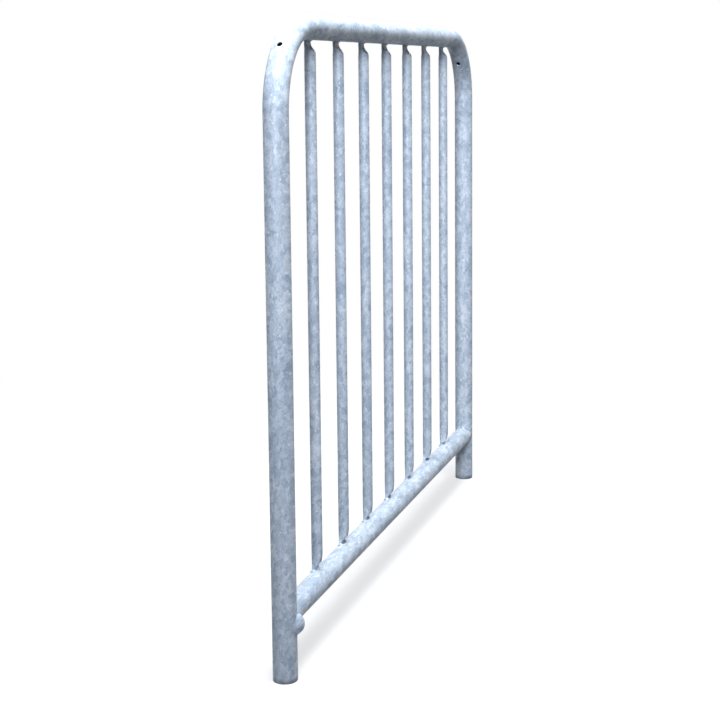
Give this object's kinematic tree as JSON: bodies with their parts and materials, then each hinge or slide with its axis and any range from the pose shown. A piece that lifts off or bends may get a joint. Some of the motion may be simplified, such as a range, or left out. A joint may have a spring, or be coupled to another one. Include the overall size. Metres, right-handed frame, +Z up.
{
  "type": "street barrier",
  "caption": "Welded galvanised tube barrier: a bent hoop on two posts with a bottom rail and upright round bars with flattened ends.",
  "frame": {"origin": "centre of the left post's foot, on its cut face", "axes": "+X along the barrier from the left post to the right post, +Y to the back (the bars stand 5 mm towards it), +Z up"},
  "size_m": [1.3, 0.0557, 1.11],
  "materials": {
    "galvanised_steel": "hot-dip galvanised zinc, matt to satin with a fine spangle"
  },
  "bodies": {
    "root": {"hoop": "galvanised_steel", "bottom_rail": "galvanised_steel", "bar_1": "galvanised_steel", "bar_2": "galvanised_steel", "bar_3": "galvanised_steel", "bar_4": "galvanised_steel", "bar_5": "galvanised_steel", "bar_6": "galvanised_steel", "bar_7": "galvanised_steel", "bar_top_weld_1": "galvanised_steel", "bar_top_weld_2": "galvanised_steel", "bar_top_weld_3": "galvanised_steel", "bar_top_weld_4": "galvanised_steel", "bar_top_weld_5": "galvanised_steel", "bar_top_weld_6": "galvanised_steel", "bar_top_weld_7": "galvanised_steel", "bar_bottom_weld_1": "galvanised_steel", "bar_bottom_weld_2": "galvanised_steel", "bar_bottom_weld_3": "galvanised_steel", "bar_bottom_weld_4": "galvanised_steel", "bar_bottom_weld_5": "galvanised_steel", "bar_bottom_weld_6": "galvanised_steel", "bar_bottom_weld_7": "galvanised_steel", "rail_weld_left": "galvanised_steel", "rail_weld_right": "galvanised_steel"}
  },
  "joints": []
}
